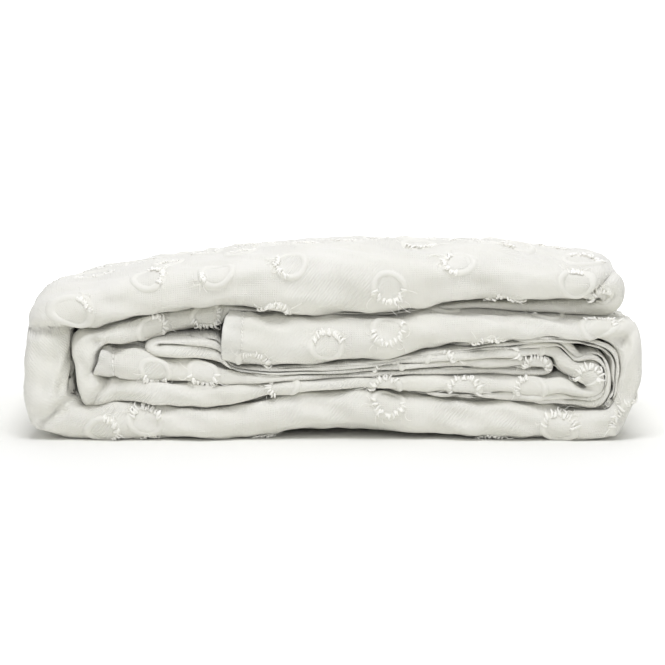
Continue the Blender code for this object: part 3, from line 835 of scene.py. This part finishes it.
def loose_threads(name, cloth, rings, per_ring, material, seed):
    """Long thin ends that have worked loose near the clipped arcs: gentle curves lying over the cloth."""
    rng = np.random.default_rng(seed)
    shape = (len(rings), per_ring)
    angle = rings[:, 3][:, None] + rings[:, 4][:, None] * rng.uniform(-0.55, 0.55, shape)
    root = RING_OUTER * rings[:, 2][:, None] * rng.uniform(0.8, 1.05, shape)
    place, normal, forward = round_rings(cloth, rings, root, angle)
    n, stops = angle.size, 9
    t = np.linspace(0, 1, stops)
    heading = angle.reshape(-1) + rng.normal(0, 0.7, n)
    bend = rng.normal(0, 1.6, n)[:, None] * t**1.5
    step = rng.uniform(4, 9, n)[:, None] / (stops - 1)
    x = np.cumsum(np.cos(heading[:, None] + bend) * step, axis=1) - step
    y = np.cumsum(np.sin(heading[:, None] + bend) * step, axis=1) - step
    high = 0.3 + rng.uniform(0.4, 2.0, n)[:, None] * np.sin(np.pi * 0.8 * t)
    lines = np.stack((x, y, high), axis=-1)
    return thread_tubes(name, place, normal, forward, lines, rng.uniform(0.18, 0.28, n), 3, 0.6, material)


def hem_stitches(cloth, material):
    """Machine stitches across both hems: short threads end to end round the part of the section that shows.
    Each sways by one small sine wave and rises in half a sine."""
    low = cloth["arc"][:, cloth["columns"]["ply_1"].start].min() + 20
    spots = np.arange(low, 60, STITCH_PITCH)
    along = np.repeat((STITCH_AT, cloth["along"][-1] - STITCH_AT), len(spots))
    place, normal, forward = on_cloth(cloth, along, np.tile(spots, 2))
    t = np.linspace(0, 1, 5)
    sway, high = 0.25 * np.sin(2 * np.pi * t), 0.05 + 0.38 * np.sin(np.pi * t)
    lines = np.stack((sway, STITCH_LENGTH * t, high), axis=-1)
    lines = np.broadcast_to(lines, (len(along), *lines.shape))
    radius = np.full(len(along), STITCH_RADIUS)
    return thread_tubes("hem_stitching", place, normal, forward, lines, radius, 4, 0.8, material)


def linear(colour):
    """A hex colour as it is seen, turned into linear light, with a fourth value of 1."""
    parts = [int(colour[k : k + 2], 16) / 255 for k in (1, 3, 5)]
    return [c / 12.92 if c <= 0.04045 else ((c + 0.055) / 1.055) ** 2.4 for c in parts] + [1.0]


def node(material, kind, settings=(), links=()):
    """Adds a node. Settings name its properties or its inputs, and links join inputs to other outputs."""
    tree = material.node_tree
    new = tree.nodes.new(kind)
    for key, value in dict(settings).items():
        if isinstance(key, int) or key in new.inputs:
            new.inputs[key].default_value = value
        else:
            setattr(new, key, value)
    for key, output in dict(links).items():
        tree.links.new(output, new.inputs[key])
    return new


def plain_material(name, colour, settings):
    """A material with its shader's values set, ready for more nodes."""
    material = bpy.data.materials.new(name)
    material.use_nodes = True
    shader = material.node_tree.nodes["Principled BSDF"]
    for key, value in {"Base Color": linear(colour), "IOR": 1.5, **settings}.items():
        shader.inputs[key].default_value = value
    return material, shader


def raised(material, shader, height, strength, distance):
    """Ends a material with bump."""
    bump = node(material, "ShaderNodeBump", {"Strength": strength, "Distance": distance}, {"Height": height})
    material.node_tree.links.new(bump.outputs["Normal"], shader.inputs["Normal"])
    return material


def noise(material, place, scale, detail, roughness=0.5):
    """Soft noise at the places, as many times finer as the scale."""
    settings = {"Scale": scale, "Detail": detail, "Roughness": roughness}
    return node(material, "ShaderNodeTexNoise", settings, {"Vector": place}).outputs["Fac"]


def scaled(material, place, scale):
    """The places stretched by the scale."""
    return node(material, "ShaderNodeMapping", {"Scale": scale}, {"Vector": place}).outputs["Vector"]


def woven_cotton():
    """Slubby cotton twill, washed and unpressed: matt, a little fuzzy at glancing angles. Its ribs slant both
    ways and cross into diamonds in patches, and are pressed flatter in others. The twill's real ribs are
    0.8 mm apart, too fine to show here, so they are drawn 1.8 mm apart, as they read from a step away."""
    material, shader = plain_material("washed_cotton_twill", "#E6E6E0", {
        "Roughness": 0.88,
        "Sheen Weight": 0.25,
        "Sheen Roughness": 0.45,
        "Subsurface Weight": 0.15,
        "Subsurface Radius": (1.0, 1.0, 0.95),
        "Subsurface Scale": 0.005,
        "Specular IOR Level": 0.25,
    })
    cloth = node(material, "ShaderNodeUVMap", {"uv_map": "cloth"}).outputs["UV"]
    mm = scaled(material, cloth, (CLOTH_WIDTH, CLOTH_LENGTH, 1))

    def maths(operation, links, settings=()):
        settings = {"operation": operation, **dict(settings)}
        return node(material, "ShaderNodeMath", settings, links).outputs[0]

    def patches(scale, least, most, low, high):
        limits = {"From Min": least, "From Max": most, "To Min": low, "To Max": high}
        value = {"Value": noise(material, mm, scale, 1.0)}
        return node(material, "ShaderNodeMapRange", limits, value).outputs["Result"]

    waves = []
    rate = 2 * math.pi / TWILL_PITCH
    for across, along in (TWILL_WAY, (-TWILL_WAY[0], TWILL_WAY[1])):
        way = {"operation": "DOT_PRODUCT", 1: (across * rate, along * rate, 0)}
        dot = node(material, "ShaderNodeVectorMath", way, {0: mm}).outputs["Value"]
        waves.append(maths("SINE", {0: dot}))
    diamond = maths("MULTIPLY", {0: waves[0], 1: waves[1]})
    links = {"Factor": patches(0.016, 0.42, 0.58, 0, 1), "A": waves[0], "B": diamond}
    twill = node(material, "ShaderNodeMix", {"data_type": "FLOAT"}, links).outputs["Result"]
    fade = patches(0.022, 0.4, 0.6, 0.2, 0.8)
    slub = noise(material, mm, 0.9, 3.0, 0.6)
    relief = maths("MULTIPLY_ADD", {0: twill, 1: fade, 2: slub})
    yarn = noise(material, scaled(material, mm, (0.25, 1.6, 1)), 0.5, 2.0)
    relief = maths("MULTIPLY_ADD", {0: yarn, 2: relief}, {1: 1.2})
    shades = {"data_type": "RGBA", "A": linear("#E9E8E0"), "B": linear("#E1E0D4")}
    tone = node(material, "ShaderNodeMix", shades, {"Factor": noise(material, mm, 0.03, 2.0)})
    material.node_tree.links.new(tone.outputs["Result"], shader.inputs["Base Color"])
    return raised(material, shader, relief, 0.5, 0.0005)


def cut_cotton():
    """Soft twisted cotton ends: a shade whiter and fuzzier than the weave, so that the rings stand out."""
    material, shader = plain_material(
        "cut_cotton_threads", "#F8F7EF", {"Roughness": 0.9, "Sheen Weight": 0.35, "Specular IOR Level": 0.25}
    )
    place = node(material, "ShaderNodeTexCoord").outputs["Object"]
    return raised(material, shader, noise(material, place, 1800.0, 2.0), 0.3, 0.0003)


def ring_cotton():
    """The rings' smooth satin-woven bands: long floating threads, so a touch glossier than the ground."""
    material, shader = plain_material(
        "satin_woven_cotton", "#E6E5DB", {"Roughness": 0.72, "Sheen Weight": 0.2, "Specular IOR Level": 0.35}
    )
    place = node(material, "ShaderNodeTexCoord").outputs["Object"]
    floats = noise(material, scaled(material, place, (1500, 500, 500)), 1.0, 2.0)
    return raised(material, shader, floats, 0.35, 0.0004)


def studio_floor():
    """A white paper sweep that runs level under the packet, curves up behind it in a quarter circle and ends
    in a wall."""
    bend = np.radians(np.linspace(9, 90, 10))
    wall = (SWEEP_FROM + SWEEP_RADIUS,) * 2
    y = np.concatenate((np.linspace(-3, SWEEP_FROM, 6), SWEEP_FROM + SWEEP_RADIUS * np.sin(bend), wall))
    rise = np.concatenate((np.zeros(6), SWEEP_RADIUS * (1 - np.cos(bend)), (1.6, 3.2)))
    x = np.linspace(-3.5, 3.5, 4)
    points = np.stack(np.broadcast_arrays(x, y[:, None], rise[:, None]), axis=-1)
    paper, _ = plain_material("white_paper_sweep", "#F6F6F0", {"Roughness": 0.9, "Specular IOR Level": 0.1})
    floor = mesh_object("floor_sweep", points, grid_faces(len(y), 4)[:, ::-1].tolist(), paper)


def soft_light(name, place, aim, size, power):
    """A square soft box that points at its aim."""
    light = bpy.data.lights.new(name, "AREA")
    light.energy = power
    light.size = size
    light.color = linear(DAYLIGHT)[:3]
    box = bpy.data.objects.new(name, light)
    box.location = place
    way = np.array(aim) - np.array(place)
    tilt = math.acos(-way[2] / np.linalg.norm(way))
    box.rotation_euler = (tilt, 0, math.atan2(way[1], way[0]) - math.pi / 2)
    bpy.context.scene.collection.objects.link(box)


def studio():
    """Even white light from all round, one soft box over the front, a broad one behind the camera that
    reaches into the folds, one above the back and one that lights the sweep behind the packet."""
    scene = bpy.context.scene
    world = bpy.data.worlds.new("white_surround")
    world.use_nodes = True
    ground = world.node_tree.nodes["Background"]
    ground.inputs["Color"].default_value = linear(DAYLIGHT)
    ground.inputs["Strength"].default_value = SURROUND_STRENGTH
    scene.world = world
    for box in SOFT_BOXES:
        soft_light(*box)
    scene.view_settings.view_transform = "Standard"
    scene.view_settings.look = "None"


def camera():
    """A long lens in front of the packet, a little above it, as in the photograph."""
    scene = bpy.context.scene
    lens = bpy.data.cameras.new("camera")
    lens.sensor_width = SENSOR_WIDTH
    lens.lens = SENSOR_WIDTH * CAMERA_AWAY / VIEW_WIDTH
    eye = bpy.data.objects.new("camera", lens)
    tilt = math.radians(CAMERA_TILT)
    eye.location = np.array(CAMERA_AIM) + CAMERA_AWAY * np.array((0, -math.cos(tilt), math.sin(tilt)))
    eye.rotation_euler = (math.radians(90) - tilt, 0, 0)
    scene.collection.objects.link(eye)
    scene.camera = eye


def bedspread():
    """The cloth, its rings and its hems."""
    cotton, threads, satin = woven_cotton(), cut_cotton(), ring_cotton()
    cloth = folded_cloth()
    sheet = cloth_sheet(cloth, cotton)
    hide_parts("bedspread")
    near = front_rings(cloth)
    far = scattered_rings(cloth, near)
    extras = [
        ring_bands("front_ring_bands", cloth, near, 40, 7, satin, 41),
        ring_bands("ring_bands", cloth, far, 26, 5, satin, 42),
        clipped_threads("front_clipped_threads", cloth, near, 17, 6, 6, 2.0, threads, 43),
        clipped_threads("clipped_threads", cloth, far, 12, 4, 4, 0.8, threads, 44),
        loose_threads("loose_threads", cloth, near, 6, threads, 45),
        hem_stitches(cloth, threads),
    ]


camera()
studio_floor()
studio()
bedspread()
